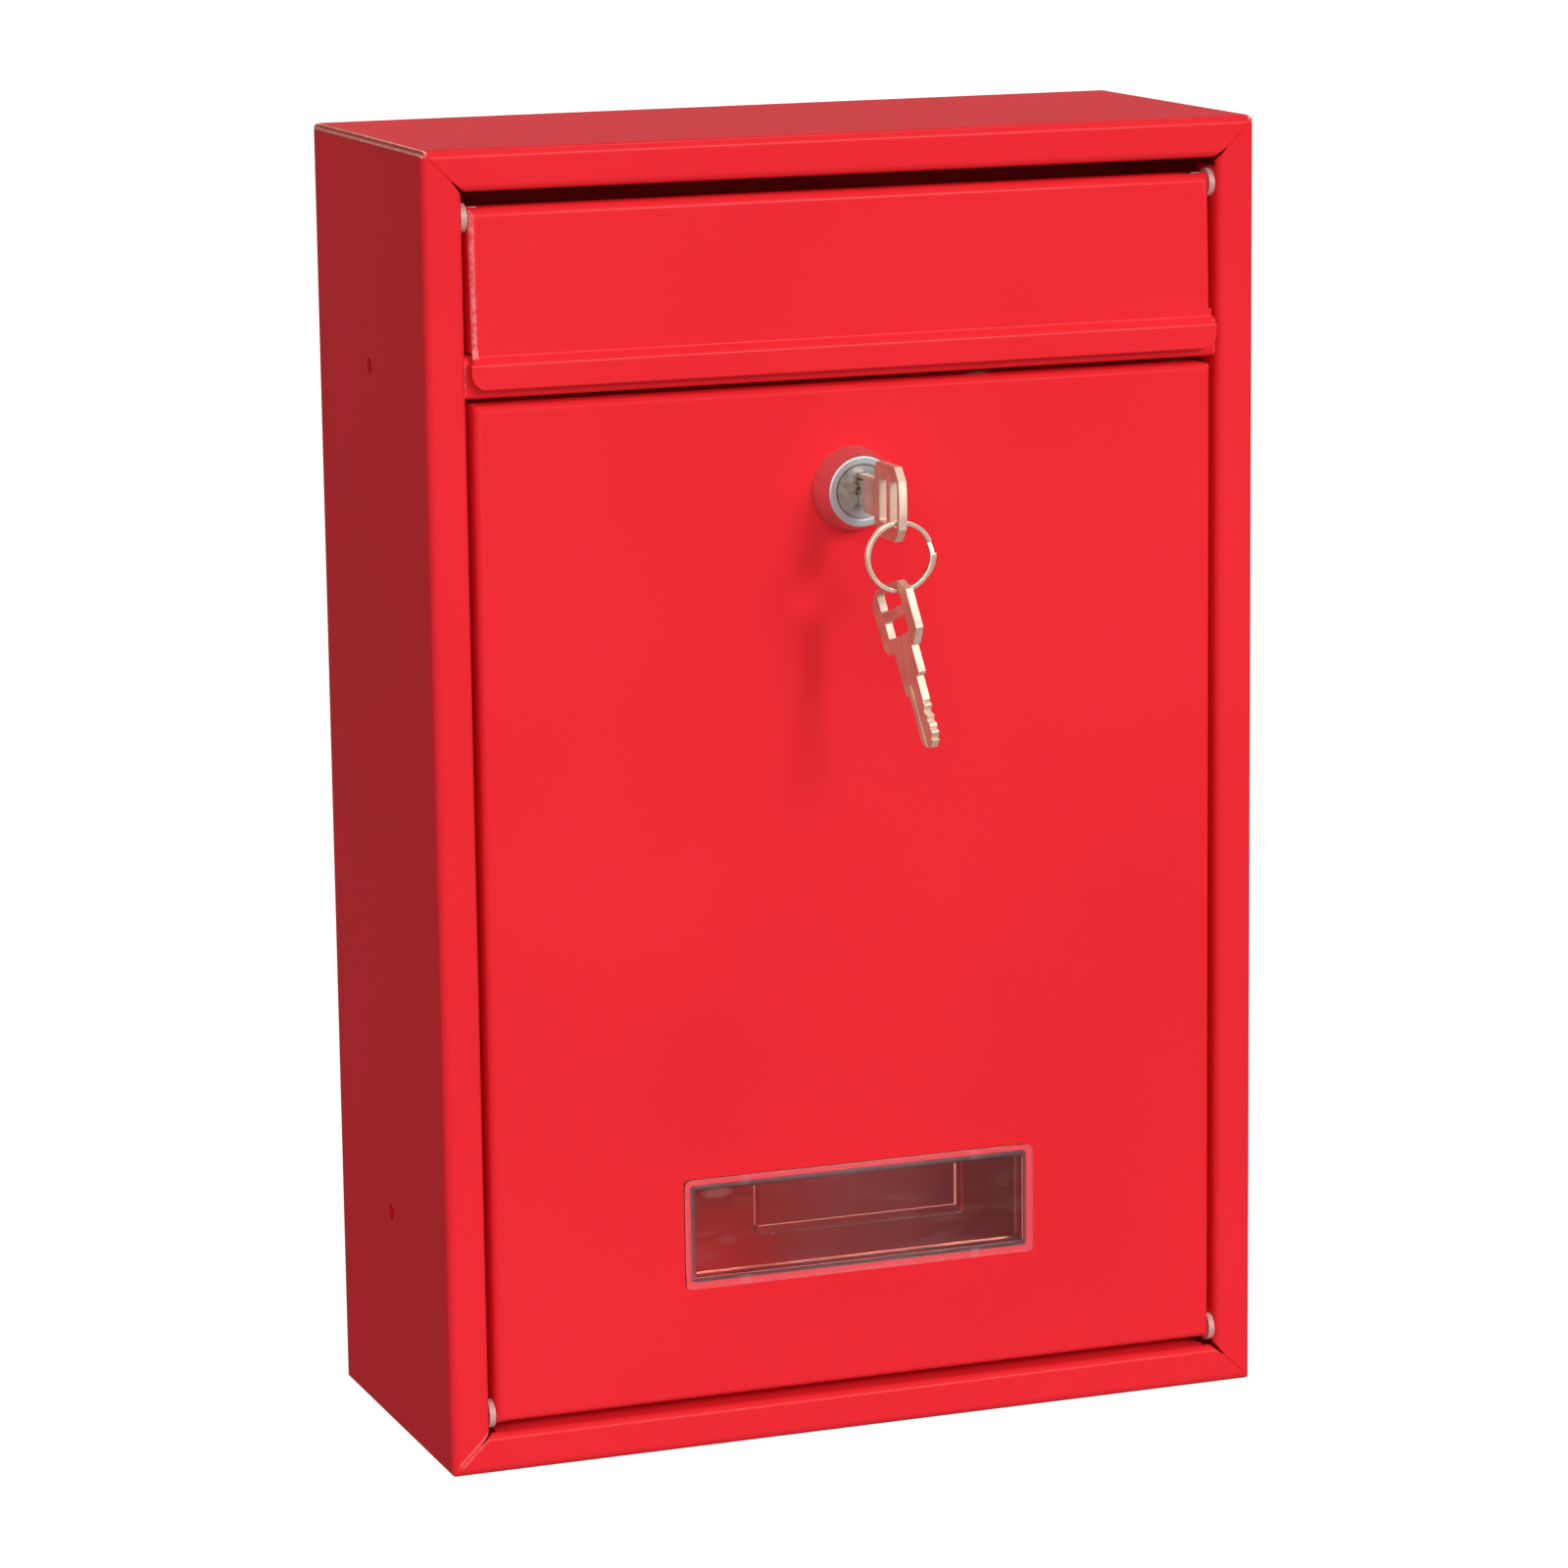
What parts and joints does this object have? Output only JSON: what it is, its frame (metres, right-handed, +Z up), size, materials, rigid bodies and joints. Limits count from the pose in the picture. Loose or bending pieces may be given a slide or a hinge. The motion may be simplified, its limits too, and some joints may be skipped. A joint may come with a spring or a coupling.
{
  "type": "wall mailbox",
  "caption": "Upright folded-steel wall mailbox with a mitred frame, top letter flap, drop-down door with name window, cam lock, key ring and spare key.",
  "frame": {"origin": "centre of the four wall holes, on the outer back face of the case", "axes": "+Z up, +Y towards the wall, -Y out of the front, +X to the right as seen from the front"},
  "size_m": [0.212, 0.1322, 0.32],
  "materials": {
    "painted_steel": "satin red powder coat on folded steel",
    "bush_plastic": "unpigmented translucent moulding",
    "clear_plastic": "clear moulding",
    "lock_chrome": "bright chromed die casting",
    "zinc_steel": "zinc plated",
    "wafer_brass": "stamped",
    "nickel_key": "nickel plated, stamped",
    "ring_steel": "nickel plated spring wire"
  },
  "bodies": {
    "case": {"case": "painted_steel", "slot_sill": "painted_steel", "flap_bush_left": "bush_plastic", "flap_bush_right": "bush_plastic", "door_bush_left": "bush_plastic", "door_bush_right": "bush_plastic"},
    "flap": {"flap": "painted_steel"},
    "door": {"door": "painted_steel", "door_window": "clear_plastic", "lock_housing": "lock_chrome", "lock_nut": "zinc_steel"},
    "plug": {"lock_plug": "lock_chrome", "lock_cam": "zinc_steel", "cam_washer": "zinc_steel", "cam_screw": "zinc_steel", "wafer_springs": "zinc_steel"},
    "wafers": {"wafer_1": "wafer_brass", "wafer_2": "wafer_brass", "wafer_3": "wafer_brass", "wafer_4": "wafer_brass", "wafer_5": "wafer_brass"},
    "key": {"key": "nickel_key"},
    "ring": {"key_ring": "ring_steel"},
    "spare_key": {"spare_key": "nickel_key"}
  },
  "joints": [
    {"name": "flap_hinge", "type": "hinge", "parent": "case", "child": "flap", "pos_m": [0, -0.08595, 0.1437], "axis": [-1, 0, 0], "range_deg": [0, 110]},
    {"name": "door_hinge", "type": "hinge", "parent": "case", "child": "door", "pos_m": [0, -0.0873, -0.1455], "axis": [1, 0, 0], "range_deg": [0, 105]},
    {"name": "lock_turn", "type": "hinge", "parent": "door", "child": "plug", "pos_m": [0, -0.091, 0.075], "axis": [0, 1, 0], "range_deg": [0, 90]},
    {"name": "key_withdraw", "type": "slide", "parent": "plug", "child": "key", "axis": [0, -1, 0], "range_m": [0, 0.026]},
    {"name": "wafers_rise", "type": "slide", "parent": "plug", "child": "wafers", "axis": [0, 0, 1], "range_m": [0, 0.0006], "deforming": ["wafer_springs"]},
    {"name": "ring_swing", "type": "hinge", "parent": "key", "child": "ring", "pos_m": [0, -0.1213, 0.0708], "axis": [-1, 0, 0], "range_deg": [-25, 60]},
    {"name": "spare_key_swing", "type": "hinge", "parent": "ring", "child": "spare_key", "pos_m": [0, -0.1213, 0.0546], "axis": [-1, 0, 0], "range_deg": [-20, 45]}
  ],
  "couplings": [
    {"joint": "wafers_rise", "follows": "key_withdraw", "ratio": 0.023}
  ]
}
